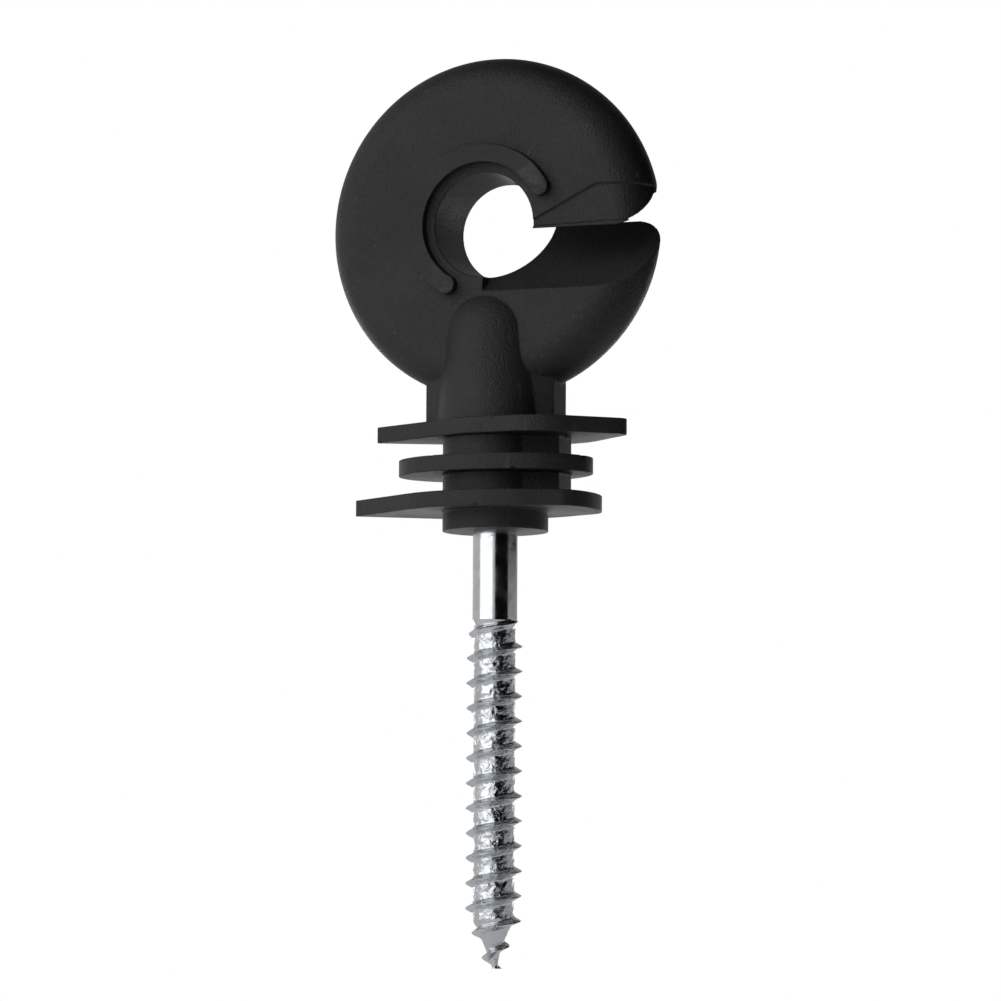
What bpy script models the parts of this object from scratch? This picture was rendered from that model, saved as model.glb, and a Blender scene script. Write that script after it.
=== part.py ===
"""Screw-in ring insulator for an electric fence wire.

A black plastic body is moulded round the top of a wood screw. The body is a thick ring with a
slanting slot for the wire, a neck, three drip flanges and a seat that meets the post.

Frame: metres, +Z up along the screw. The origin is where the screw leaves the seat, so the
post's surface is the plane Z = 0. The ring stands in the XZ plane and its slot opens to +X.
"""

import math

import bmesh
import bpy
from mathutils import Vector

# Ring that holds the wire
RING_RADIUS = 0.0181
RING_THICKNESS = 0.0079
EYE_RADIUS = 0.0055
EYE_TAPER = 0.00025

# Slot that the wire is turned through: a slanting slab of air from the eye to the rim
SLOT_RISE = math.radians(45)
SLOT_WIDTH = 0.00444
SLOT_END_X = 0.0006
SLOT_END_SLANT = math.radians(5.1)

# Shallow step beside the slot, on the front of the upper jaw, with a thin lip left along its edge
STEP_DEPTH = 0.00025
STEP_START_Z = 0.0002
STEP_END_Z = 0.0037
STEP_CORNER_X = 0.0124
LIP_START_Z = -0.00047
LIP_RISE = math.radians(1.5)

# Raised pad part of the way round the eye
PAD_FROM_EYE = 0.00095
PAD_WIDTH = 0.00195
PAD_HEIGHT = 0.0010
PAD_START = math.radians(29.0)
PAD_END = math.radians(238.5)

# Neck: a round core that narrows up to its domed top, and a fin across it that thins out to its edges
CORE_BASE_RADIUS = 0.0063
CORE_RADIUS = 0.0056
DOME_BELOW_EYE = 0.0004
NECK_HEIGHT = 0.00245
FIN_HALF_WIDTH = 0.00715
FIN_EDGE = 0.0038
FIN_ROOT = 0.0074
FIN_ROOT_X = 0.0040
RIB_REACH = 0.00775

# Seat and drip flanges, lowest first. Each flange is an oval, long along X, and some are drawn out
# to a tip on one side or both
SEAT_RADIUS = 0.00555
FLANGE_THICKNESS = 0.0017
FLANGE_GAP = 0.00215
LOWEST_FLANGE_Z = 0.00205
FLANGES = (
    {"reach": 0.0112, "half_depth": 0.0082, "centre_x": 0.0, "tips": (-0.0158,)},
    {"reach": 0.01055, "half_depth": 0.0072, "centre_x": 0.0, "tips": ()},
    {"reach": 0.0080, "half_depth": 0.0070, "centre_x": 0.0035, "tips": (-0.0134, 0.0144)},
)

# Wood screw
SHANK_RADIUS = 0.00234
THREAD_CORE_RADIUS = 0.00215
THREAD_RADIUS = 0.0030
THREAD_PITCH = 0.0026
THREAD_TOP_Z = -0.0094
TIP_Z = -0.0456
POINT_LENGTH = 0.0046
POINT_RADIUS = 0.0003
CREST_START_Z = -0.0122
CREST_BASE = 0.0012
SPADE_ABOVE_FLANGES = 0.0030
SPADE_HALF_WIDTH = 0.0036
SPADE_THICKNESS = 0.0028
SPADE_HEIGHT = 0.0045

# Gap between the screw and the plastic, and how far a cut runs past what it cuts
CLEARANCE = 0.0003
OVERRUN = 0.002

# Straight sides that stand for each round shape
RING_STEPS = 64
NECK_STEPS = 40
PAD_STEPS = 24
RIM_STEPS = 8
THREAD_STEPS = 18


def clear_scene():
    for thing in list(bpy.data.objects):
        bpy.data.objects.remove(thing)


def new_object(name, mesh):
    thing = bpy.data.objects.new(name, mesh)
    bpy.context.scene.collection.objects.link(thing)
    return thing


def finish_mesh(name, bm):
    """Closes a bmesh into a named object with its faces pointing out."""
    bmesh.ops.recalc_face_normals(bm, faces=bm.faces[:])
    mesh = bpy.data.meshes.new(name)
    bm.to_mesh(mesh)
    bm.free()
    return new_object(name, mesh)


def arc(centre, radius, start, end, steps):
    """Points along an arc, both ends included."""
    points = []
    for i in range(steps + 1):
        angle = start + (end - start) * i / steps
        points.append((centre[0] + radius * math.cos(angle), centre[1] + radius * math.sin(angle)))
    return points


def turned(name, profile, steps):
    """Turns a profile of (radius, height) points about Z, and closes its ends with flat caps."""
    bm = bmesh.new()
    rings = []
    for radius, height in profile:
        if radius == 0:
            rings.append([bm.verts.new((0, 0, height))] * steps)
            continue
        loop = arc((0, 0), radius, 0, math.tau, steps)[:-1]
        rings.append([bm.verts.new((x, y, height)) for x, y in loop])
    for low, high in zip(rings, rings[1:]):
        for i in range(steps):
            j = (i + 1) % steps
            corners = dict.fromkeys((low[i], low[j], high[j], high[i]))
            bm.faces.new(list(corners))
    for cap in (rings[0], rings[-1]):
        if len(set(cap)) > 1:
            bm.faces.new(cap)
    return finish_mesh(name, bm)


def extruded(name, outline, low, high):
    """Extrudes a closed outline in the XY plane from Z = low to Z = high."""
    bm = bmesh.new()
    base = bm.faces.new([bm.verts.new((x, y, low)) for x, y in outline])
    raised = bmesh.ops.extrude_face_region(bm, geom=[base])["geom"]
    lifted = [item for item in raised if isinstance(item, bmesh.types.BMVert)]
    bmesh.ops.translate(bm, verts=lifted, vec=Vector((0, 0, high - low)))
    return finish_mesh(name, bm)


def block(name, low, high):
    outline = [(low[0], low[1]), (high[0], low[1]), (high[0], high[1]), (low[0], high[1])]
    return extruded(name, outline, low[2], high[2])


def combine(base, other, operation):
    """Adds or cuts other from base, and hides other as a guide."""
    step = base.modifiers.new(other.name, "BOOLEAN")
    step.operation = operation
    step.solver = "EXACT"
    step.object = other
    other.hide_render = True
    other.display_type = "WIRE"
    other.parent = base


def smooth(thing):
    """Shades a round piece smooth, with its corners left sharp."""
    thing.data.shade_smooth()
    thing.data.set_sharp_from_angle(angle=math.radians(35))


def material(name, colour, roughness, metallic):
    made = bpy.data.materials.new(name)
    made.use_nodes = True
    shader = made.node_tree.nodes["Principled BSDF"]
    shader.inputs["Base Color"].default_value = (*colour, 1.0)
    shader.inputs["Roughness"].default_value = roughness
    shader.inputs["Metallic"].default_value = metallic
    return made


def flange_bottom(level):
    return LOWEST_FLANGE_Z + level * (FLANGE_THICKNESS + FLANGE_GAP)


def top_of_flanges():
    return flange_bottom(len(FLANGES) - 1) + FLANGE_THICKNESS


def ring_centre():
    return top_of_flanges() + NECK_HEIGHT + RING_RADIUS


def dome_centre():
    return ring_centre() - EYE_RADIUS - DOME_BELOW_EYE - CORE_RADIUS


def spade_bottom():
    return top_of_flanges() + SPADE_ABOVE_FLANGES


def shank_top():
    return spade_bottom() + SPADE_HEIGHT / 2


def upright(thing):
    """Stands a shape made about Z up in the XZ plane, at the ring's centre."""
    thing.rotation_euler = (math.radians(90), 0, 0)
    thing.location = (0, 0, ring_centre())
    return thing


def ring():
    """Disc with flat faces and a half-round rim."""
    half = RING_THICKNESS / 2
    rim = arc((RING_RADIUS - half, 0), half, -math.pi / 2, math.pi / 2, RIM_STEPS)
    return upright(turned("ring", rim, RING_STEPS))


def eye():
    """Round hole, a little narrower at the back."""
    face = RING_THICKNESS / 2
    slope = EYE_TAPER / RING_THICKNESS
    past = PAD_HEIGHT + OVERRUN
    back = (EYE_RADIUS - EYE_TAPER - slope * past, -face - past)
    front = (EYE_RADIUS + slope * past, face + past)
    return upright(turned("eye", [back, front], RING_STEPS))


def slot():
    """Slanting slab of air, from its end wall beside the eye's centre out past the rim. The end
    wall leans towards the rim at the back."""
    reach = RING_RADIUS + OVERRUN
    depth = RING_THICKNESS * 1.5
    lean = depth * math.tan(SLOT_END_SLANT)
    outline = [(SLOT_END_X - lean, -depth), (reach, -depth), (reach, depth), (SLOT_END_X + lean, depth)]
    thing = extruded("slot", outline, -SLOT_WIDTH / 2, SLOT_WIDTH / 2)
    thing.rotation_euler = (SLOT_RISE, 0, 0)
    thing.location = (0, 0, ring_centre())
    return thing


def pad():
    """Raised strip with round ends, part of the way round the eye on the front face."""
    inner = EYE_RADIUS + PAD_FROM_EYE
    half = PAD_WIDTH / 2
    middle = inner + half
    start = (middle * math.cos(PAD_START), middle * math.sin(PAD_START))
    end = (middle * math.cos(PAD_END), middle * math.sin(PAD_END))
    outline = arc((0, 0), inner + PAD_WIDTH, PAD_START, PAD_END, PAD_STEPS)
    outline += arc(end, half, PAD_END, PAD_END + math.pi, RIM_STEPS)[1:-1]
    outline += arc((0, 0), inner, PAD_END, PAD_START, PAD_STEPS)
    outline += arc(start, half, PAD_START + math.pi, PAD_START + math.tau, RIM_STEPS)[1:-1]
    face = RING_THICKNESS / 2
    return upright(extruded("pad", outline, face - OVERRUN / 2, face + PAD_HEIGHT))


def step_cut():
    """Shallow cut that sets the upper jaw back beside the slot."""
    reach = RING_RADIUS + OVERRUN
    face = RING_THICKNESS / 2
    lip_end = LIP_START_Z + (reach - EYE_RADIUS) * math.tan(LIP_RISE)
    outline = [(EYE_RADIUS - STEP_DEPTH, LIP_START_Z), (EYE_RADIUS, LIP_START_Z), (reach, lip_end)]
    outline += [(reach, STEP_END_Z), (STEP_CORNER_X, STEP_END_Z)]
    outline += [(EYE_RADIUS, STEP_START_Z), (EYE_RADIUS - STEP_DEPTH, STEP_START_Z)]
    return upright(extruded("step_cut", outline, face - STEP_DEPTH, face + OVERRUN))


def core():
    """Seat, stem and neck core, turned in one profile with a domed top."""
    shoulder = top_of_flanges() - FLANGE_THICKNESS / 2
    centre = dome_centre()
    dome = arc((0, centre), CORE_RADIUS, 0, math.pi / 2, RIM_STEPS)
    dome[-1] = (0, centre + CORE_RADIUS)
    profile = [(SEAT_RADIUS, 0), (SEAT_RADIUS, shoulder), (CORE_BASE_RADIUS, shoulder), *dome]
    return turned("insulator_body", profile, NECK_STEPS)


def fin():
    """Web across the core, between the top flange and the ring."""
    edge = FIN_EDGE / 2
    root = FIN_ROOT / 2
    outline = [(-FIN_HALF_WIDTH, -edge), (-FIN_ROOT_X, -root), (FIN_ROOT_X, -root)]
    outline += [(FIN_HALF_WIDTH, -edge), (FIN_HALF_WIDTH, edge), (FIN_ROOT_X, root)]
    outline += [(-FIN_ROOT_X, root), (-FIN_HALF_WIDTH, edge)]
    return extruded("fin", outline, top_of_flanges() - FLANGE_THICKNESS / 3, dome_centre())


def rib():
    """Web that ties the flanges together on the slot's side."""
    edge = FIN_EDGE / 2
    root = FIN_ROOT / 2
    outline = [(0.0, -root), (FIN_ROOT_X, -root), (RIB_REACH, -edge)]
    outline += [(RIB_REACH, edge), (FIN_ROOT_X, root), (0.0, root)]
    low = LOWEST_FLANGE_Z + FLANGE_THICKNESS / 2
    high = top_of_flanges() - FLANGE_THICKNESS * 2 / 3
    return extruded("rib", outline, low, high)


def flange(level):
    """Drip flange: an oval, drawn out by straight sides to each tip it has."""
    shape = FLANGES[level]
    bottom = flange_bottom(level)
    outline = [
        (shape["centre_x"] + shape["reach"] * x, shape["half_depth"] * y)
        for x, y in arc((0, 0), 1.0, 0, math.tau, RING_STEPS)[:-1]
    ]
    outline += [(tip, 0.0) for tip in shape["tips"]]
    bm = bmesh.new()
    for height in (bottom, bottom + FLANGE_THICKNESS):
        for x, y in outline:
            bm.verts.new((x, y, height))
    hull = bmesh.ops.convex_hull(bm, input=bm.verts[:])
    bmesh.ops.delete(bm, geom=hull["geom_interior"], context="VERTS")
    return finish_mesh(f"flange_{level + 1}", bm)


def spade(name, spare):
    """Flattened top end of the screw, which keeps it from turning in the plastic."""
    wide = SPADE_HALF_WIDTH + spare
    thick = SPADE_THICKNESS / 2 + spare
    high = spade_bottom() + SPADE_HEIGHT + spare
    return block(name, (-wide, -thick, spade_bottom() - spare), (wide, thick, high))


def shank_room():
    """Round hole for the screw's shank, up to the middle of its flattened end."""
    outline = arc((0, 0), SHANK_RADIUS + CLEARANCE, 0, math.tau, NECK_STEPS)[:-1]
    return extruded("shank_room", outline, -OVERRUN, shank_top() + CLEARANCE)


def insulator_body():
    body = core()
    smooth(body)
    for level in range(len(FLANGES)):
        combine(body, flange(level), "UNION")
    for shape in (fin(), rib(), ring(), pad()):
        combine(body, shape, "UNION")
    cuts = [eye(), slot(), step_cut(), shank_room(), spade("spade_room", CLEARANCE)]
    for cut in cuts:
        combine(body, cut, "DIFFERENCE")
    body.data.materials.append(black_plastic())
    return body


def thread_point(height, phase):
    """Point on the thread, where phase is how many pitches it lies above the crest."""
    if height >= THREAD_TOP_Z:
        past = height - THREAD_TOP_Z > THREAD_PITCH
        return SHANK_RADIUS, shank_top() if past else THREAD_TOP_Z
    height = max(height, TIP_Z)
    above_tip = height - TIP_Z
    taper = min(1.0, above_tip / POINT_LENGTH)
    root = POINT_RADIUS + (THREAD_CORE_RADIUS - POINT_RADIUS) * taper
    run_out = min(1.0, 0.2 + (THREAD_TOP_Z - height) / THREAD_PITCH)
    crest = (THREAD_RADIUS - THREAD_CORE_RADIUS) * run_out * min(1.0, above_tip / THREAD_PITCH)
    return root + crest * (1.0 if phase == 0 else 0.0), height


def wood_screw():
    """Threaded point, plain shank and flattened end. Each row of the thread's grid of points
    follows its helix, and rows past either end of the thread close up into that end's circle."""
    bm = bmesh.new()
    phases = (-CREST_BASE / 2 / THREAD_PITCH, 0.0, CREST_BASE / 2 / THREAD_PITCH)
    turns = math.ceil((THREAD_TOP_Z - TIP_Z) / THREAD_PITCH) + 3
    columns = []
    for i in range(THREAD_STEPS):
        part_turn = i / THREAD_STEPS
        angle = math.tau * part_turn
        column = []
        for turn in range(-turns, 5):
            for phase in phases:
                height = CREST_START_Z + THREAD_PITCH * (turn + phase + part_turn)
                radius, height = thread_point(height, phase)
                x, y = arc((0, 0), radius, angle, angle, 1)[0]
                column.append(bm.verts.new((x, y, height)))
        columns.append(column)
    for i in range(THREAD_STEPS):
        here = columns[i]
        beside = columns[i + 1] if i + 1 < THREAD_STEPS else columns[0][len(phases):]
        for k in range(len(beside) - 1):
            bm.faces.new((here[k], beside[k], beside[k + 1], here[k + 1]))
    bmesh.ops.remove_doubles(bm, verts=bm.verts[:], dist=1e-7)
    bmesh.ops.holes_fill(bm, edges=[edge for edge in bm.edges if edge.is_boundary], sides=0)
    screw = finish_mesh("wood_screw", bm)
    smooth(screw)
    combine(screw, spade("spade", 0.0), "UNION")
    screw.data.materials.append(zinc_plate())
    return screw


def black_plastic():
    return material("black_plastic", (0.018, 0.018, 0.019), 0.5, 0.0)


def zinc_plate():
    return material("zinc_plate", (0.72, 0.74, 0.77), 0.3, 1.0)


def main():
    clear_scene()
    insulator_body()
    wood_screw()


main()
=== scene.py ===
"""Screw-in ring insulator for an electric fence wire.

A thick black ring with a slanting slot stands on a neck with three drip flanges. The plastic is
moulded round the flattened top of a zinc-plated wood screw. Sizes are in metres, +Z runs up the
screw, the origin is where the screw leaves the seat, and the ring stands in the XZ plane.
"""

import math

import bmesh
import bpy
from bpy.props import FloatProperty, FloatVectorProperty, IntProperty, PointerProperty
from mathutils import Matrix, Vector, noise


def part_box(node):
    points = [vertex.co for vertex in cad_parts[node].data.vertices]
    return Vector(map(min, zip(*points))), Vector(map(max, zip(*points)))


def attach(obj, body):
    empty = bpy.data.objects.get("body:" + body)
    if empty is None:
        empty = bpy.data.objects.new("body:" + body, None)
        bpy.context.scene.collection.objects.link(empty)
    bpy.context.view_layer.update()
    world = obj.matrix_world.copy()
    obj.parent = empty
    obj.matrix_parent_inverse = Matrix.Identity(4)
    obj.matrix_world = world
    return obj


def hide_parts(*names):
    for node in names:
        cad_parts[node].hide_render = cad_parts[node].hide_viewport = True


bl_info = {
    "name": "Screw-in Ring Insulator",
    "version": (1, 0, 0),
    "blender": (4, 5, 0),
    "location": "View3D > Sidebar > Insulator",
    "description": "Builds a moulded fence insulator and its wood screw, with their finishes and a stage",
    "category": "Object",
}

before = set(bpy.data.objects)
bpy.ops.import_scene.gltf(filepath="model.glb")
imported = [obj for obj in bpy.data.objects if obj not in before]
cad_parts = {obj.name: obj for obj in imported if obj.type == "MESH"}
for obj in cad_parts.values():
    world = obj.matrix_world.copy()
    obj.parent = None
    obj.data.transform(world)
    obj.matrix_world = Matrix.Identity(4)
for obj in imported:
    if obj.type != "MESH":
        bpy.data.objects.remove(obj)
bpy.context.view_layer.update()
BODY_LOW, BODY_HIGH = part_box("insulator_body")
SCREW_LOW, SCREW_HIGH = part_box("wood_screw")
RING_RADIUS = -BODY_LOW.x
RING_CENTRE = BODY_HIGH.z - RING_RADIUS

# Drip flanges, highest first. Each is the hull of ovals, told by where their centres lie along X and
# by their half sizes along X and Y, so that a small oval draws the flange out to a tip
FLANGES = (
    ((0.0010, 0.0068, 0.0068), (0.0048, 0.0070, 0.0070), (0.0132, 0.0013, 0.0013), (-0.0132, 0.0002, 0.0002)),
    ((0.0, 0.01055, 0.0072),),
    ((0.0, 0.0109, 0.0081), (0.0087, 0.0025, 0.0054), (-0.0156, 0.0002, 0.0002)),
)
GOLDEN_ANGLE = math.radians(137.5)
SKIN_TRIANGLES = 190000

# Form of the thread: how hollow the point's taper is, how much of the crest is left at the tip and
# at the thread's top, the crest's peak and its rounding there and at its root (1 is the full crest)
POINT_CURVE = 1.45
CREST_AT_TIP = 0.6
CREST_AT_TOP = 0.25
CREST_PEAK = 1.04
CREST_ROUNDING = 0.12
ROOT_ROUNDING = 0.09

# Unevenness between the threads, in features per metre
COARSE_WAVES = 1500
FINE_WAVES = 3300


def length(name, description, default):
    return FloatProperty(
        name=name, description=description, default=default, unit="LENGTH", precision=5, step=0.01
    )


def angle(name, description, degrees):
    return FloatProperty(
        name=name, description=description, default=math.radians(degrees), subtype="ANGLE"
    )


def share(name, description, default):
    return FloatProperty(
        name=name, description=description, default=default, min=0.0, max=1.0, subtype="FACTOR"
    )


def colour(name, description, default):
    return FloatVectorProperty(
        name=name, description=description, default=default, min=0.0, max=1.0, size=3, subtype="COLOR"
    )


class RingSizes(bpy.types.PropertyGroup):
    """Ring, slot and pad."""

    radius: length("Radius", "Outer radius of the ring", RING_RADIUS)
    thickness: length("Thickness", "Between the ring's flat faces", 0.0079)
    eye_radius: length("Eye radius", "Radius of the eye that holds the wire", 0.0055)
    eye_taper: length("Eye taper", "How much narrower the eye is at the back", 0.00025)
    slot_rise: angle("Slot rise", "How steeply the slot slants through the ring", 45.0)
    slot_width: length("Slot width", "Width of the slot across its slant", 0.00444)
    slot_end: length("Slot end", "Where the slot's end wall stands, halfway through the ring", 0.0006)
    slot_lean: angle("Slot lean", "How the slot's end wall leans towards the rim at the back", 5.1)
    step_depth: length("Step depth", "How far the upper jaw is set back beside the slot", 0.00025)
    step_start: length("Step start", "Height of the step where it meets the eye", 0.0002)
    step_end: length("Step end", "Height of the step at the rim", 0.0037)
    lip_start: length("Lip start", "Height of the lip along the jaw's edge at the eye", -0.00047)
    lip_rise: angle("Lip rise", "How the lip climbs towards the rim", 1.5)
    step_corner: length("Step corner", "Where the step's edge turns level", 0.0124)
    pad_gap: length("Pad gap", "Land between the eye and the pad", 0.00095)
    pad_width: length("Pad width", "Width of the raised pad", 0.00195)
    pad_height: length("Pad height", "How far the pad stands off the face", 0.0010)
    pad_start: angle("Pad start", "Where the pad starts, from the slot's side", 29.0)
    pad_end: angle("Pad end", "Where the pad ends", 238.5)


class NeckSizes(bpy.types.PropertyGroup):
    """Core, fin, rib, flanges and seat."""

    height: length("Neck height", "From the top flange to the ring", 0.00245)
    core_base: length("Core base", "Radius of the round core where it leaves the flanges", 0.0063)
    core_radius: length("Core radius", "Radius of the core's domed top", 0.0056)
    dome_gap: length("Dome gap", "From the top of the dome to the eye", 0.0004)
    fin_half_width: length("Fin half width", "Half the width of the fin", 0.00715)
    fin_edge: length("Fin edge", "Thickness of the fin and the rib at their outer edges", 0.0038)
    fin_root: length("Fin root", "Thickness of the fin and the rib where they meet the core", 0.0074)
    fin_root_x: length("Fin root place", "How far from the axis the fin meets the core", 0.0040)
    rib_reach: length("Rib reach", "How far the rib between the flanges stands out", 0.00775)
    seat_radius: length("Seat radius", "Radius of the seat and the stem", 0.00555)
    flange_thickness: length("Flange thickness", "Thickness of each drip flange", 0.0017)
    flange_gap: length("Flange gap", "Between one flange and the next", 0.00215)
    grip: length("Grip", "How far the plastic closes on the screw", 0.00006)
    nicks: IntProperty(name="Nicks", description="Small nicks in the flanges' edges", default=14)
    nick_size: length("Nick size", "Radius of the largest nick", 0.00032)
    grid: length("Surface grid", "Spacing of the moulded surface's mesh", 0.00009)


class ScrewSizes(bpy.types.PropertyGroup):
    """Shank, thread, point and flattened end."""

    shank_radius: length("Shank radius", "Radius of the plain shank", 0.00234)
    root_radius: length("Root radius", "Radius between the threads", 0.00215)
    crest_radius: length("Crest radius", "Radius at the threads' edges", 0.0030)
    pitch: length("Pitch", "From one thread to the next", 0.0026)
    thread_top: length("Thread top", "Height where the thread starts", -0.0094)
    crest_start: length("Crest height", "Height of the first thread at the slot's side", -0.0122)
    crest_base: length("Crest base", "Width of a thread at its root", 0.00085)
    tip: length("Tip", "Height of the point", SCREW_LOW.z)
    point_length: length("Point length", "Length of the tapering point", 0.0050)
    point_radius: length("Point radius", "Radius of the blunt tip", 0.00031)
    hook: length("Hook", "How far the tip is bent over", 0.00025)
    wave: length("Wave", "Unevenness that rolling leaves between the threads", 0.00007)
    spade_height: length("Spade height", "Length of the flattened end", 0.0045)
    spade_half_width: length("Spade half width", "Half the width of the flattened end", 0.0036)
    spade_thickness: length("Spade thickness", "Thickness of the flattened end", 0.0028)


class Finishes(bpy.types.PropertyGroup):
    """Colours and surface values of the plastic and the zinc."""

    plastic: colour("Plastic", "Colour of the moulded plastic", (0.0120, 0.0120, 0.0126))
    plastic_roughness: share("Plastic roughness", "Roughness of the moulded plastic", 0.46)
    plastic_worn: colour("Worn plastic", "Colour of rubbed plastic edges", (0.055, 0.055, 0.058))
    plastic_ior: FloatProperty(name="Plastic IOR", description="Index of refraction", default=1.45)
    dust: colour("Dust", "Colour of dust on the plastic", (0.16, 0.155, 0.145))
    zinc: colour("Zinc", "Colour of the zinc plate", (0.70, 0.72, 0.74))
    zinc_roughness: share("Zinc roughness", "Roughness of the zinc plate", 0.16)
    zinc_dull: colour("Dull zinc", "Colour of the zinc where it is rolled and dull", (0.52, 0.54, 0.56))
    rolled_below: length("Rolled below", "Height where the dents of thread rolling start", -0.0094)
    zinc_stain: colour("Stained zinc", "Colour of small spots in the zinc", (0.30, 0.29, 0.27))


class StageSettings(bpy.types.PropertyGroup):
    """Camera, floor and light."""

    azimuth: angle("Camera azimuth", "How far the camera stands round to the slot's side", 20.86)
    distance: length("Camera distance", "From the camera to the screw's axis", 0.5527)
    height: length("Camera height", "Height of the camera", -0.04996)
    aim_height: length("Aim height", "Height that the camera aims at", 0.0033)
    aim_side: length("Aim side", "How far the camera is set to its right", 0.000527)
    roll: angle("Camera roll", "How far the camera leans", 0.293)
    lens: FloatProperty(name="Lens", description="Focal length in millimetres", default=190.5)
    floor: length("Floor", "Height of the floor", -0.060)
    floor_glow: FloatProperty(name="Floor glow", description="Light the floor gives off", default=0.24)
    floor_radius: length("Floor radius", "Radius of the round floor", 0.30)
    card_start: angle("Card start", "Where the dark cards start, round to the camera's right", -1.0)
    low_card_end: angle("Low card end", "Where the card beside the screw ends", 70.0)
    high_card_end: angle("High card end", "Where the card beside the plastic ends", 142.0)
    card_distance: length("Card distance", "From the screw's axis to the dark cards", 0.16)
    card_split: length("Card split", "Height where the lower card ends and the upper one starts", 0.010)
    card_top: length("Card top", "Height of the upper card's upper edge", 0.20)
    glow_start: FloatProperty(name="Glow start", description="Where the back light sets in", default=0.70)
    glow_full: FloatProperty(name="Glow full", description="Where the back light is full", default=0.95)
    left_light: FloatProperty(name="Left light", description="Radiance on the left", default=0.70)
    right_light: FloatProperty(name="Right light", description="Radiance on the right", default=0.42)
    back_light: FloatProperty(name="Back light", description="Radiance low behind the object", default=3.2)
    lamp_side: angle("Lamp side", "Where the lamp stands, round to the camera's right", -48.0)
    lamp_rise: angle("Lamp rise", "How far above level the lamp stands", 27.0)
    lamp_distance: length("Lamp distance", "From the object to the lamp", 0.60)
    lamp_width: length("Lamp width", "Width of the lamp", 0.90)
    lamp_height: length("Lamp height", "Height of the lamp's face", 0.75)
    lamp_light: FloatProperty(name="Lamp light", description="Radiance of the lamp", default=1.1)
    lamp_tint: colour("Lamp tint", "Colour of the lamp's light", (0.96, 0.98, 1.0))
    backdrop: colour("Backdrop", "Colour of the backdrop", (1.0, 1.0, 1.0))


def arc(centre, radius, start, end, steps):
    """Points along an arc, both ends included."""
    points = []
    for i in range(steps + 1):
        turn = start + (end - start) * i / steps
        points.append((centre[0] + radius * math.cos(turn), centre[1] + radius * math.sin(turn)))
    return points


def circle(radius, steps):
    return arc((0, 0), radius, 0, math.tau, steps)[:-1]


def new_piece(name, bm):
    """Closes a bmesh into a named object with its faces pointing out."""
    bmesh.ops.recalc_face_normals(bm, faces=bm.faces[:])
    mesh = bpy.data.meshes.new(name)
    bm.to_mesh(mesh)
    bm.free()
    piece = bpy.data.objects.new(name, mesh)
    bpy.context.scene.collection.objects.link(piece)
    return piece


def turned(name, profile, steps):
    """Turns a profile of (radius, height) points about Z, and closes its ends."""
    bm = bmesh.new()
    rings = []
    for radius, height in profile:
        if radius == 0:
            rings.append([bm.verts.new((0, 0, height))] * steps)
            continue
        rings.append([bm.verts.new((x, y, height)) for x, y in circle(radius, steps)])
    for low, high in zip(rings, rings[1:]):
        for i in range(steps):
            j = (i + 1) % steps
            bm.faces.new(list(dict.fromkeys((low[i], low[j], high[j], high[i]))))
    for cap in (rings[0], rings[-1]):
        if len(set(cap)) > 1:
            bm.faces.new(cap)
    return new_piece(name, bm)


def extruded(name, outline, low, high):
    """Extrudes a closed outline in the XY plane from Z = low to Z = high."""
    bm = bmesh.new()
    base = bm.faces.new([bm.verts.new((x, y, low)) for x, y in outline])
    raised = bmesh.ops.extrude_face_region(bm, geom=[base])["geom"]
    lifted = [item for item in raised if isinstance(item, bmesh.types.BMVert)]
    bmesh.ops.translate(bm, verts=lifted, vec=Vector((0, 0, high - low)))
    return new_piece(name, bm)


def block(name, low, high):
    outline = [(low[0], low[1]), (high[0], low[1]), (high[0], high[1]), (low[0], high[1])]
    return extruded(name, outline, low[2], high[2])


def combine(base, other, operation):
    """Queues a Boolean step on base, to be applied by apply_steps."""
    step = base.modifiers.new(other.name, "BOOLEAN")
    step.operation = operation
    step.solver = "EXACT"
    step.object = other


def apply_steps(piece):
    """Applies a piece's modifiers and removes the shapes that only served them."""
    helpers = [step.object for step in piece.modifiers if step.type == "BOOLEAN"]
    made = piece.evaluated_get(bpy.context.evaluated_depsgraph_get())
    mesh = bpy.data.meshes.new_from_object(made)
    piece.modifiers.clear()
    rough = piece.data
    piece.data = mesh
    mesh.name = piece.name
    bpy.data.meshes.remove(rough)
    for helper in helpers:
        bpy.data.objects.remove(helper)


def upright(shape):
    """Stands a shape made about Z up in the XZ plane, at the ring's centre."""
    shape.rotation_euler = (math.radians(90), 0, 0)
    shape.location = (0, 0, RING_CENTRE)
    return shape


def ring_blank(ring, inset=0.0):
    """Disc with flat faces and a half-round rim, made smaller all over by the inset."""
    half = ring.thickness / 2
    rim = arc((ring.radius - half, 0), half - inset, -math.pi / 2, math.pi / 2, 24)
    return upright(turned("ring", rim, 256))


def eye_cut(ring):
    """Round hole, a little narrower at the back."""
    reach = ring.thickness
    slope = ring.eye_taper / ring.thickness
    middle = ring.eye_radius - ring.eye_taper / 2
    ends = [(middle - slope * reach, -reach), (middle + slope * reach, reach)]
    return upright(turned("eye", ends, 192))


def slot_cut(ring):
    """Slanting slab of air, from its leaning end wall out past the rim."""
    reach = ring.radius * 1.2
    lean = reach * math.tan(ring.slot_lean)
    end, half = ring.slot_end, ring.slot_width / 2
    outline = [(end - lean, -reach), (reach, -reach), (reach, reach), (end + lean, reach)]
    shape = extruded("slot", outline, -half, half)
    shape.rotation_euler = (ring.slot_rise, 0, 0)
    shape.location = (0, 0, RING_CENTRE)
    return shape


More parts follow.
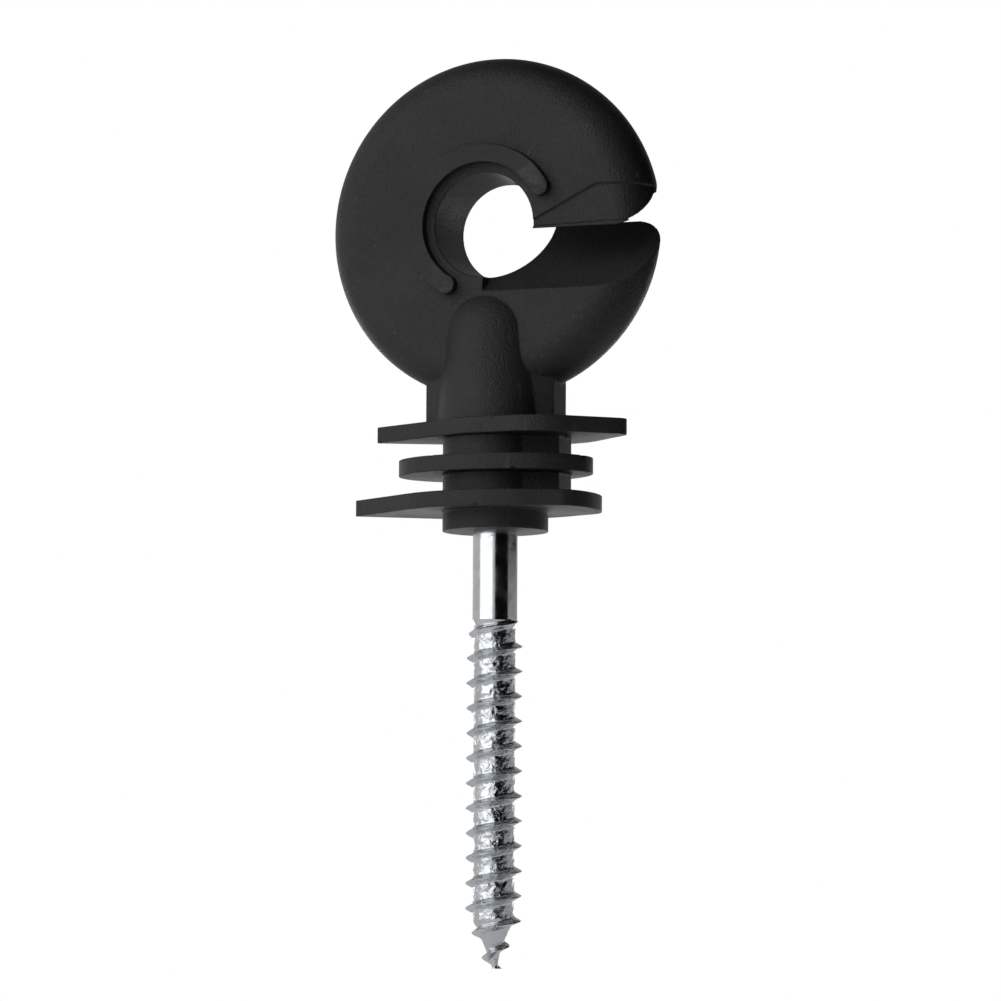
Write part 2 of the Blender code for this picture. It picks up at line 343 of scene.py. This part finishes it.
def step_cut(ring):
    """Shallow cut that sets the upper jaw back beside the slot and leaves a thin lip along its
    edge. The cut keeps an even depth round the rim."""
    reach = ring.radius * 1.1
    start = ring.eye_radius - ring.step_depth
    lip_end = ring.lip_start + (reach - ring.eye_radius) * math.tan(ring.lip_rise)
    outline = [(start, ring.lip_start), (ring.eye_radius, ring.lip_start), (reach, lip_end)]
    outline += [(reach, ring.step_end), (ring.step_corner, ring.step_end)]
    outline += [(ring.eye_radius, ring.step_start), (start, ring.step_start)]
    shape = upright(extruded("step", outline, ring.step_depth, ring.thickness))
    combine(shape, ring_blank(ring, ring.step_depth), "DIFFERENCE")
    apply_steps(shape)
    return shape


def pad_shape(ring):
    """Raised strip with round ends, part of the way round the eye on the front face."""
    inner = ring.eye_radius + ring.pad_gap
    half = ring.pad_width / 2
    middle = inner + half
    start, end = ring.pad_start, ring.pad_end
    first = (middle * math.cos(start), middle * math.sin(start))
    last = (middle * math.cos(end), middle * math.sin(end))
    outline = arc((0, 0), inner + ring.pad_width, start, end, 96)
    outline += arc(last, half, end, end + math.pi, 24)[1:-1]
    outline += arc((0, 0), inner, end, start, 96)
    outline += arc(first, half, start + math.pi, start + math.tau, 24)[1:-1]
    face = ring.thickness / 2
    return upright(extruded("pad", outline, face / 2, face + ring.pad_height))


def top_of_flanges(ring, neck):
    return RING_CENTRE - ring.radius - neck.height


def core_shape(ring, neck):
    """Seat, stem and neck core, turned in one profile with a domed top."""
    shoulder = top_of_flanges(ring, neck) - neck.flange_thickness / 2
    centre = RING_CENTRE - ring.eye_radius - neck.dome_gap - neck.core_radius
    dome = arc((0, centre), neck.core_radius, 0, math.pi / 2, 32)
    dome[-1] = (0, centre + neck.core_radius)
    seat = neck.seat_radius
    return turned("moulded_body", [(seat, 0), (seat, shoulder), (neck.core_base, shoulder), *dome], 192)


def fin_shape(ring, neck):
    """Web across the core, between the top flange and the ring, that thins out to its edges."""
    edge, root = neck.fin_edge / 2, neck.fin_root / 2
    side, foot = neck.fin_half_width, neck.fin_root_x
    outline = [(-side, -edge), (-foot, -root), (foot, -root), (side, -edge)]
    outline += [(side, edge), (foot, root), (-foot, root), (-side, edge)]
    bottom = top_of_flanges(ring, neck) - neck.flange_thickness / 3
    return extruded("fin", outline, bottom, RING_CENTRE - ring.radius * 0.6)


def rib_shape(ring, neck):
    """Web that ties the flanges together on the slot's side."""
    edge, root = neck.fin_edge / 2, neck.fin_root / 2
    outline = [(0.0, -root), (neck.fin_root_x, -root), (neck.rib_reach, -edge)]
    outline += [(neck.rib_reach, edge), (neck.fin_root_x, root), (0.0, root)]
    top = top_of_flanges(ring, neck) - neck.flange_thickness / 2
    bottom = flange_bottom(ring, neck, len(FLANGES) - 1) + neck.flange_thickness / 2
    return extruded("rib", outline, bottom, top)


def flange_bottom(ring, neck, level):
    """Height of a flange's underside, counted from the top flange down."""
    fall = level * (neck.flange_thickness + neck.flange_gap)
    return top_of_flanges(ring, neck) - neck.flange_thickness - fall


def flange_shape(ring, neck, level):
    """Drip flange: the hull of its ovals."""
    bottom = flange_bottom(ring, neck, level)
    bm = bmesh.new()
    for centre, reach, half_depth in FLANGES[level]:
        for x, y in circle(1.0, 192):
            for height in (bottom, bottom + neck.flange_thickness):
                bm.verts.new((centre + reach * x, half_depth * y, height))
    hull = bmesh.ops.convex_hull(bm, input=bm.verts[:])
    bmesh.ops.delete(bm, geom=hull["geom_interior"], context="VERTS")
    return new_piece(f"flange_{level + 1}", bm)


def nick_shape(ring, neck, number):
    """Small ball that takes a nick out of one edge of a flange, spread about by the golden angle."""
    level = number % len(FLANGES)
    centre, reach, half_depth = FLANGES[level][0]
    turn = number * GOLDEN_ANGLE
    height = flange_bottom(ring, neck, level)
    if number % 2:
        height += neck.flange_thickness
    size = neck.nick_size * (0.55 + 0.45 * math.sin(number * 2.3) ** 2)
    place = Vector((centre + reach * math.cos(turn), half_depth * math.sin(turn), height))
    bm = bmesh.new()
    bmesh.ops.create_icosphere(bm, subdivisions=2, radius=size, matrix=Matrix.Translation(place))
    return new_piece("nick", bm)


def spade_shape(screw, spare):
    """Flattened top end of the screw, which keeps it from turning in the plastic."""
    wide = screw.spade_half_width + spare
    thick = screw.spade_thickness / 2 + spare
    bottom = SCREW_HIGH.z - screw.spade_height - spare
    return block("spade", (-wide, -thick, bottom), (wide, thick, SCREW_HIGH.z + spare))


def shank_room(screw, spare):
    outline = circle(screw.shank_radius + spare, 96)
    top = SCREW_HIGH.z - screw.spade_height / 2
    return extruded("shank_room", outline, -screw.shank_radius, top)


class INSULATOR_OT_body(bpy.types.Operator):
    """Builds the moulded plastic body: ring, slot, pad, neck, flanges and seat"""

    bl_idname = "insulator.build_body"
    bl_label = "Moulded Body"

    def execute(self, context):
        scene = context.scene
        ring, neck, screw = scene.insulator_ring, scene.insulator_neck, scene.insulator_screw
        body = core_shape(ring, neck)
        shapes = [flange_shape(ring, neck, level) for level in range(len(FLANGES))]
        shapes += [fin_shape(ring, neck), rib_shape(ring, neck), ring_blank(ring), pad_shape(ring)]
        for shape in shapes:
            combine(body, shape, "UNION")
        cuts = [eye_cut(ring), slot_cut(ring), step_cut(ring)]
        cuts += [shank_room(screw, -neck.grip), spade_shape(screw, -neck.grip)]
        cuts += [nick_shape(ring, neck, number) for number in range(neck.nicks)]
        for cut in cuts:
            combine(body, cut, "DIFFERENCE")
        apply_steps(body)
        skin_moulding(body, neck.grid)
        body.data.materials.append(moulded_plastic(scene.insulator_finish))
        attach(body, "root")
        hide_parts("insulator_body")
        return {"FINISHED"}


def skin_moulding(body, grid):
    """Gives the joined shapes one even skin with slightly rounded edges, as a mould does."""
    skin = body.modifiers.new("skin", "REMESH")
    skin.mode = "VOXEL"
    skin.voxel_size = grid
    skin.use_smooth_shade = True
    soften = body.modifiers.new("soften", "SMOOTH")
    soften.factor = 0.5
    soften.iterations = 1
    apply_steps(body)
    triangles = len(body.data.polygons) * 2
    thin = body.modifiers.new("thin", "DECIMATE")
    thin.ratio = min(1.0, SKIN_TRIANGLES / triangles)
    apply_steps(body)
    body.data.shade_smooth()
    even = body.modifiers.new("even", "WEIGHTED_NORMAL")
    even.weight = 80
    apply_steps(body)


def thread_section(screw, height, phase):
    """Radius of the thread at a height, where phase is how many pitches it lies from the crest."""
    above_tip = max(0.0, height - screw.tip)
    taper = min(1.0, above_tip / screw.point_length) ** POINT_CURVE
    root = screw.point_radius + (screw.root_radius - screw.point_radius) * taper
    shoulder = max(0.0, 1 - (screw.thread_top - height) / (screw.pitch / 8))
    root += (screw.shank_radius - screw.root_radius) * shoulder
    start = (screw.thread_top - height) / screw.pitch
    run_out = min(1.0, max(0.0, CREST_AT_TOP + start))
    full = (screw.crest_radius - screw.root_radius) * run_out
    crest = full * min(1.0, CREST_AT_TIP + (1 - CREST_AT_TIP) * above_tip / (screw.pitch / 2))
    across = abs(phase) * screw.pitch / (screw.crest_base / 2)
    ridge = CREST_PEAK - math.hypot(across, CREST_ROUNDING)
    ridge = 0.5 * (ridge + math.hypot(ridge, ROOT_ROUNDING))
    return root + crest * ridge


def thread_vertex(screw, turn, height, phase):
    """Point on the thread's surface, with the unevenness of rolling and the tip's bend."""
    radius = thread_section(screw, height, phase)
    above_tip = max(0.0, height - screw.tip)
    at = Vector((math.cos(turn), math.sin(turn), height / screw.root_radius)) * screw.root_radius
    fade = min(1.0, above_tip / screw.pitch, (screw.thread_top - height) / screw.pitch)
    radius += screw.wave * fade * (noise.noise(at * COARSE_WAVES) + noise.noise(at * FINE_WAVES) * 0.5)
    bend = screw.hook * max(0.0, 1 - above_tip / screw.pitch) ** 2
    return bend + radius * math.cos(turn), radius * math.sin(turn), height


def screw_shape(screw):
    """Threaded point and plain shank. Each row of the thread's grid follows its helix, and rows
    past either end of the thread close up into that end's circle."""
    bm = bmesh.new()
    columns = 112
    flank = screw.crest_base / 2 / screw.pitch
    edge = [flank * k / 6 for k in range(-7, 8)]
    gap = [edge[-1] + (1 - 2 * edge[-1]) * k / 9 for k in range(1, 9)]
    phases = edge + gap
    turns = math.ceil((screw.thread_top - screw.tip) / screw.pitch) + 3
    top = SCREW_HIGH.z - screw.spade_height / 2
    shank_levels = (screw.thread_top, screw.thread_top + screw.pitch / 20, top)
    grid = []
    for i in range(columns):
        part_turn = i / columns
        turned_by = math.tau * part_turn
        column = []
        for turn in range(-turns, 5):
            for phase in phases:
                height = screw.crest_start + screw.pitch * (turn + phase + part_turn)
                near = phase if phase <= 0.5 else phase - 1
                if height > screw.thread_top:
                    level = min(len(shank_levels) - 1, int((height - screw.thread_top) / screw.pitch))
                    x, y = arc((0, 0), screw.shank_radius, turned_by, turned_by, 1)[0]
                    column.append(bm.verts.new((x, y, shank_levels[level])))
                else:
                    place = thread_vertex(screw, turned_by, max(height, screw.tip), near)
                    column.append(bm.verts.new(place))
        grid.append(column)
    for i in range(columns):
        here = grid[i]
        beside = grid[i + 1] if i + 1 < columns else grid[0][len(phases):]
        for k in range(len(beside) - 1):
            bm.faces.new((here[k], beside[k], beside[k + 1], here[k + 1]))
    bmesh.ops.remove_doubles(bm, verts=bm.verts[:], dist=1e-7)
    bmesh.ops.holes_fill(bm, edges=[edge for edge in bm.edges if edge.is_boundary], sides=0)
    return new_piece("rolled_screw", bm)


class INSULATOR_OT_screw(bpy.types.Operator):
    """Builds the wood screw: flattened end, shank, rolled thread and point"""

    bl_idname = "insulator.build_screw"
    bl_label = "Wood Screw"

    def execute(self, context):
        screw = context.scene.insulator_screw
        piece = screw_shape(screw)
        combine(piece, spade_shape(screw, 0.0), "UNION")
        apply_steps(piece)
        piece.data.shade_smooth()
        piece.data.set_sharp_from_angle(angle=math.radians(50))
        piece.data.materials.append(zinc_plate(context.scene.insulator_finish))
        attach(piece, "root")
        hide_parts("wood_screw")
        return {"FINISHED"}


def add(tree, kind, inputs, **settings):
    """Adds a shader node. An input's value is either a socket to link from or a constant."""
    node = tree.nodes.new("ShaderNode" + kind)
    for name, value in settings.items():
        setattr(node, name, value)
    for name, value in inputs.items():
        if isinstance(value, bpy.types.NodeSocket):
            tree.links.new(value, node.inputs[name])
        else:
            node.inputs[name].default_value = value
    return node


def times(tree, first, second):
    return add(tree, "Math", {0: first, 1: second}, operation="MULTIPLY").outputs[0]


def plus(tree, first, second):
    return add(tree, "Math", {0: first, 1: second}, operation="ADD").outputs[0]


def ramp(tree, value, start, end, low, high):
    """Smooth step from low to high as the value goes from start to end."""
    inputs = {"Value": value, "From Min": start, "From Max": end, "To Min": low, "To Max": high}
    return add(tree, "MapRange", inputs, interpolation_type="SMOOTHSTEP").outputs["Result"]


def mix(tree, mask, first, second):
    """Blend of two colours, told as sockets or as linear colours."""
    inputs = {"Factor": mask, 6: first, 7: second}
    return add(tree, "Mix", inputs, data_type="RGBA").outputs[2]


def cloud(tree, scale, detail, stretch=(1.0, 1.0, 1.0)):
    """Noise in the piece's own coordinates, with its scale in features per metre."""
    place = add(tree, "TexCoord", {}).outputs["Object"]
    placed = add(tree, "Mapping", {"Vector": place, "Scale": stretch}).outputs["Vector"]
    return add(tree, "TexNoise", {"Vector": placed, "Scale": scale, "Detail": detail}).outputs["Fac"]


def new_group(name, inputs, output):
    """Starts a node group with number inputs and one number output."""
    tree = bpy.data.node_groups.new(name, "ShaderNodeTree")
    for label, default in inputs.items():
        socket = tree.interface.new_socket(label, in_out="INPUT", socket_type="NodeSocketFloat")
        socket.default_value = default
    tree.interface.new_socket(output, in_out="OUTPUT", socket_type="NodeSocketFloat")
    return tree, tree.nodes.new("NodeGroupInput").outputs


def end_group(tree, value):
    end = tree.nodes.new("NodeGroupOutput")
    tree.links.new(value, end.inputs[0])
    return tree


def fine_grain():
    """Height of a fine matt grain: grit of two sizes."""
    tree, given = new_group("Fine Grain", {"Scale": 4000.0, "Depth": 1.0}, "Height")
    coarse = cloud(tree, given["Scale"], 2.0)
    fine = cloud(tree, times(tree, given["Scale"], 2.7), 1.0)
    grit = plus(tree, coarse, times(tree, fine, 0.6))
    return end_group(tree, times(tree, grit, given["Depth"]))


def edge_wear():
    """Mask of the sharp edges, broken up where they were handled less."""
    tree, given = new_group("Edge Wear", {"Onset": 0.52, "Full": 0.60, "Breakup": 500.0}, "Mask")
    pointiness = add(tree, "NewGeometry", {}).outputs["Pointiness"]
    edges = ramp(tree, pointiness, given["Onset"], given["Full"], 0.0, 1.0)
    broken = ramp(tree, cloud(tree, given["Breakup"], 3.0), 0.35, 0.62, 0.15, 1.0)
    return end_group(tree, times(tree, edges, broken))


def mottling():
    """Slow change of a value from place to place."""
    tree, given = new_group("Mottling", {"Scale": 200.0, "Low": 0.0, "High": 1.0}, "Value")
    spread = ramp(tree, cloud(tree, given["Scale"], 4.0), 0.3, 0.7, given["Low"], given["High"])
    return end_group(tree, spread)


def specks():
    """Mask of scattered specks of dust."""
    tree, given = new_group("Specks", {"Scale": 900.0, "Amount": 0.1, "Size": 0.12}, "Mask")
    place = add(tree, "TexCoord", {}).outputs["Object"]
    cells = add(tree, "TexVoronoi", {"Vector": place, "Scale": given["Scale"]})
    pick = add(tree, "SeparateColor", {"Color": cells.outputs["Color"]}).outputs["Red"]
    chosen = add(tree, "Math", {0: pick, 1: given["Amount"]}, operation="LESS_THAN").outputs[0]
    dot = ramp(tree, cells.outputs["Distance"], 0.0, given["Size"], 1.0, 0.0)
    return end_group(tree, times(tree, dot, chosen))


def scratches():
    """Mask of fine scratches that run round the piece."""
    tree, given = new_group("Scratches", {"Scale": 260.0, "Width": 0.012}, "Mask")
    lines = cloud(tree, given["Scale"], 2.0, (1.0, 1.0, 9.0))
    off_line = add(tree, "Math", {0: lines, 1: 0.5}, operation="SUBTRACT").outputs[0]
    distance = add(tree, "Math", {0: off_line}, operation="ABSOLUTE").outputs[0]
    line = ramp(tree, distance, 0.0, given["Width"], 1.0, 0.0)
    patchy = ramp(tree, cloud(tree, times(tree, given["Scale"], 0.6), 2.0), 0.5, 0.66, 0.0, 1.0)
    return end_group(tree, times(tree, line, patchy))


def use_group(tree, make, **inputs):
    """Places a shared effect, made on its first use, and returns its output socket."""
    group = bpy.data.node_groups.get(make.__name__.replace("_", " ").title()) or make()
    node = add(tree, "Group", {}, node_tree=group)
    for name, value in inputs.items():
        node.inputs[name].default_value = value
    return node.outputs[0]


def bumped(tree, height, distance, strength, normal=None):
    inputs = {"Height": height, "Distance": distance, "Strength": strength}
    if normal:
        inputs["Normal"] = normal
    return add(tree, "Bump", inputs).outputs["Normal"]


def new_material(name):
    made = bpy.data.materials.new(name)
    made.use_nodes = True
    return made, made.node_tree, made.node_tree.nodes["Principled BSDF"]


def moulded_plastic(finish):
    """Black plastic with a fine grain, faint flow marks, rubbed edges and a little dust."""
    made, tree, shader = new_material("moulded_plastic")
    tone = use_group(tree, mottling, Scale=150.0, Low=0.85, High=1.2)
    worn = use_group(tree, edge_wear, Onset=0.53, Full=0.66, Breakup=420.0)
    dust = use_group(tree, specks, Scale=1300.0, Amount=0.05, Size=0.16)
    rubbed = use_group(tree, scratches, Scale=170.0, Width=0.010)
    base = add(tree, "VectorMath", {0: finish.plastic, "Scale": tone}, operation="SCALE").outputs[0]
    edged = mix(tree, times(tree, worn, 0.7), base, (*finish.plastic_worn, 1.0))
    marked = mix(tree, times(tree, rubbed, 0.25), edged, (*finish.plastic_worn, 1.0))
    dusted = mix(tree, times(tree, dust, 0.6), marked, (*finish.dust, 1.0))
    rough = finish.plastic_roughness
    flow = use_group(tree, mottling, Scale=90.0, Low=rough - 0.05, High=rough + 0.05)
    grain = use_group(tree, fine_grain, Scale=4200.0, Depth=1.0)
    normal = bumped(tree, grain, 0.00011, 1.0)
    normal = bumped(tree, use_group(tree, mottling, Scale=420.0), 0.00005, 0.2, normal)
    tree.links.new(dusted, shader.inputs["Base Color"])
    tree.links.new(plus(tree, flow, times(tree, dust, 0.3)), shader.inputs["Roughness"])
    tree.links.new(normal, shader.inputs["Normal"])
    shader.inputs["IOR"].default_value = finish.plastic_ior
    return made


def zinc_plate(finish):
    """Bright zinc plate: cloudy plating, streaks from drawing and rolling, rubbed crests."""
    made, tree, shader = new_material("zinc_plate")
    cloudy = use_group(tree, mottling, Scale=420.0, Low=0.0, High=0.55)
    crests = use_group(tree, edge_wear, Onset=0.52, Full=0.62, Breakup=900.0)
    spots = use_group(tree, specks, Scale=1600.0, Amount=0.12, Size=0.22)
    streaks = use_group(tree, scratches, Scale=420.0, Width=0.02)
    plated = mix(tree, cloudy, (*finish.zinc, 1.0), (*finish.zinc_dull, 1.0))
    spotted = mix(tree, times(tree, spots, 0.5), plated, (*finish.zinc_stain, 1.0))
    rubbed = mix(tree, times(tree, crests, 0.6), spotted, (*finish.zinc, 1.0))
    rough = finish.zinc_roughness
    patchy = use_group(tree, mottling, Scale=700.0, Low=rough - 0.05, High=rough + 0.09)
    scored = plus(tree, times(tree, streaks, 0.12), times(tree, spots, 0.15))
    grain = use_group(tree, fine_grain, Scale=2600.0, Depth=1.0)
    normal = bumped(tree, grain, 0.00001, 0.25)
    place = add(tree, "TexCoord", {}).outputs["Object"]
    height = add(tree, "SeparateXYZ", {"Vector": place}).outputs["Z"]
    rolled = ramp(tree, height, finish.rolled_below - 0.0005, finish.rolled_below, 1.0, 0.02)
    dents = times(tree, use_group(tree, mottling, Scale=1500.0), rolled)
    normal = bumped(tree, dents, 0.00009, 0.6, normal)
    normal = bumped(tree, streaks, 0.00001, 0.3, normal)
    tree.links.new(rubbed, shader.inputs["Base Color"])
    tree.links.new(plus(tree, patchy, scored), shader.inputs["Roughness"])
    tree.links.new(normal, shader.inputs["Normal"])
    shader.inputs["Metallic"].default_value = 1.0
    return made


def camera_axes(stage):
    """The camera's place and its right, up and back directions."""
    turn = stage.azimuth
    side = Vector((math.cos(turn), math.sin(turn), 0.0))
    ahead = Vector((-math.sin(turn), math.cos(turn), 0.0))
    place = side * stage.aim_side - ahead * stage.distance + Vector((0, 0, stage.height))
    aim = side * stage.aim_side + Vector((0, 0, stage.aim_height))
    back = (place - aim).normalized()
    right = Vector((0, 0, 1)).cross(back).normalized()
    up = back.cross(right)
    lean_right = right * math.cos(stage.roll) + up * math.sin(stage.roll)
    lean_up = up * math.cos(stage.roll) - right * math.sin(stage.roll)
    return place, lean_right, lean_up, back


def place_camera(scene, stage):
    data = bpy.data.cameras.new("camera")
    data.sensor_width = 36.0
    data.lens = stage.lens
    data.clip_start = 0.01
    data.clip_end = 20.0
    camera = bpy.data.objects.new("camera", data)
    scene.collection.objects.link(camera)
    place, right, up, back = camera_axes(stage)
    turn = Matrix((right, up, back)).transposed().to_4x4()
    camera.matrix_world = Matrix.Translation(place) @ turn
    scene.camera = camera


def toward(stage, side, rise):
    """Unit direction from the object, told by the angle to the camera's right and the angle up."""
    turn = stage.azimuth + side
    return Vector((math.sin(turn) * math.cos(rise), -math.cos(turn) * math.cos(rise), math.sin(rise)))


def soft_box(scene, stage):
    """Rectangular lamp that faces the object, with its brightness given as radiance."""
    data = bpy.data.lights.new("soft_box_left", "AREA")
    data.shape = "RECTANGLE"
    data.size = stage.lamp_width
    data.size_y = stage.lamp_height
    data.energy = stage.lamp_light * math.pi * stage.lamp_width * stage.lamp_height
    data.color = stage.lamp_tint
    lamp = bpy.data.objects.new("soft_box_left", data)
    scene.collection.objects.link(lamp)
    direction = toward(stage, stage.lamp_side, stage.lamp_rise)
    lamp.location = direction * stage.lamp_distance + Vector((0, 0, RING_CENTRE / 2))
    lamp.rotation_mode = "QUATERNION"
    lamp.rotation_quaternion = direction.to_track_quat("Z", "Y")
    lamp.visible_camera = False


def dark_card(stage, name, end, bottom, top):
    """Curved black card that keeps light from the right. The camera doesn't see it."""
    bm = bmesh.new()
    edge = []
    for i in range(33):
        turn = stage.card_start + (end - stage.card_start) * i / 32
        place = toward(stage, turn, 0) * stage.card_distance
        edge.append([bm.verts.new((place.x, place.y, height)) for height in (bottom, top)])
    for (low, high), (next_low, next_high) in zip(edge, edge[1:]):
        bm.faces.new((low, next_low, next_high, high))
    card = new_piece(name, bm)
    card.visible_camera = False
    made, _, shader = new_material(name)
    shader.inputs["Base Color"].default_value = (0.006, 0.006, 0.006, 1.0)
    shader.inputs["Roughness"].default_value = 1.0
    shader.inputs["Specular IOR Level"].default_value = 0.0
    card.data.materials.append(made)


def studio_world(scene, stage):
    """White all round for the camera. For the light it is brightest behind the object, softer at
    the sides and dark overhead. A height here is the Z of a unit direction."""
    world = bpy.data.worlds.new("studio")
    world.use_nodes = True
    tree = world.node_tree
    tree.nodes.clear()
    away = tuple(toward(stage, math.pi, 0))
    aside = tuple(toward(stage, math.pi / 2, 0))
    place = add(tree, "TexCoord", {}).outputs["Generated"]
    height = add(tree, "SeparateXYZ", {"Vector": place}).outputs["Z"]
    behind = add(tree, "VectorMath", {0: place, 1: away}, operation="DOT_PRODUCT").outputs["Value"]
    right = add(tree, "VectorMath", {0: place, 1: aside}, operation="DOT_PRODUCT").outputs["Value"]
    sides = ramp(tree, right, -0.2, 0.6, stage.left_light, stage.right_light)
    level = times(tree, ramp(tree, height, -0.16, -0.07, 0.0, 1.0), ramp(tree, height, 0.0, 0.04, 1.0, 0.0))
    glow = times(tree, level, ramp(tree, behind, stage.glow_start, stage.glow_full, 0.0, stage.back_light))
    overhead = ramp(tree, height, 0.30, 0.80, 1.0, 0.06)
    underneath = ramp(tree, height, -0.20, -0.08, 0.15, 1.0)
    around = plus(tree, times(tree, sides, times(tree, overhead, underneath)), glow)
    light = add(tree, "Background", {"Strength": around})
    seen = add(tree, "Background", {"Color": (*stage.backdrop, 1.0), "Strength": 1.0})
    camera_ray = add(tree, "LightPath", {}).outputs["Is Camera Ray"]
    shown = add(tree, "MixShader", {"Fac": camera_ray, 1: light.outputs[0], 2: seen.outputs[0]})
    add(tree, "OutputWorld", {"Surface": shown.outputs[0]})
    scene.world = world


def studio_floor(stage):
    floor = extruded("studio_floor", circle(stage.floor_radius, 96), stage.floor - 0.002, stage.floor)
    made, tree, shader = new_material("pale_floor")
    tone = use_group(tree, mottling, Scale=6.0, Low=0.88, High=0.92)
    pale = add(tree, "CombineColor", {"Red": tone, "Green": tone, "Blue": tone}).outputs["Color"]
    tree.links.new(pale, shader.inputs["Base Color"])
    shader.inputs["Roughness"].default_value = 0.9
    shader.inputs["Emission Color"].default_value = (1.0, 1.0, 1.0, 1.0)
    shader.inputs["Emission Strength"].default_value = stage.floor_glow
    floor.data.materials.append(made)


class INSULATOR_OT_stage(bpy.types.Operator):
    """Sets up the camera, the floor, the backdrop and the soft light"""

    bl_idname = "insulator.build_stage"
    bl_label = "Stage"

    def execute(self, context):
        scene = context.scene
        stage = scene.insulator_stage
        place_camera(scene, stage)
        studio_world(scene, stage)
        studio_floor(stage)
        soft_box(scene, stage)
        dark_card(stage, "low_card", stage.low_card_end, stage.floor + 0.001, stage.card_split)
        dark_card(stage, "high_card", stage.high_card_end, stage.card_split, stage.card_top)
        scene.view_settings.view_transform = "Standard"
        scene.view_settings.look = "None"
        return {"FINISHED"}


class INSULATOR_PT_panel(bpy.types.Panel):
    """Sizes and finishes, and a button for each piece."""

    bl_idname = "INSULATOR_PT_panel"
    bl_label = "Ring Insulator"
    bl_space_type = "VIEW_3D"
    bl_region_type = "UI"
    bl_category = "Insulator"

    def draw(self, context):
        for group in GROUPS:
            settings = getattr(context.scene, group)
            box = self.layout.box()
            for name in settings.__annotations__:
                box.prop(settings, name)
        for operator in OPERATORS:
            self.layout.operator(operator.bl_idname)


GROUPS = {
    "insulator_ring": RingSizes,
    "insulator_neck": NeckSizes,
    "insulator_screw": ScrewSizes,
    "insulator_finish": Finishes,
    "insulator_stage": StageSettings,
}
OPERATORS = (INSULATOR_OT_body, INSULATOR_OT_screw, INSULATOR_OT_stage)


def register():
    for name, group in GROUPS.items():
        bpy.utils.register_class(group)
        setattr(bpy.types.Scene, name, PointerProperty(type=group))
    for operator in OPERATORS:
        bpy.utils.register_class(operator)
    bpy.utils.register_class(INSULATOR_PT_panel)


def unregister():
    bpy.utils.unregister_class(INSULATOR_PT_panel)
    for operator in reversed(OPERATORS):
        bpy.utils.unregister_class(operator)
    for name, group in GROUPS.items():
        delattr(bpy.types.Scene, name)
        bpy.utils.unregister_class(group)


def main():
    register()
    bpy.ops.insulator.build_body()
    bpy.ops.insulator.build_screw()
    bpy.ops.insulator.build_stage()


if __name__ == "__main__":
    main()
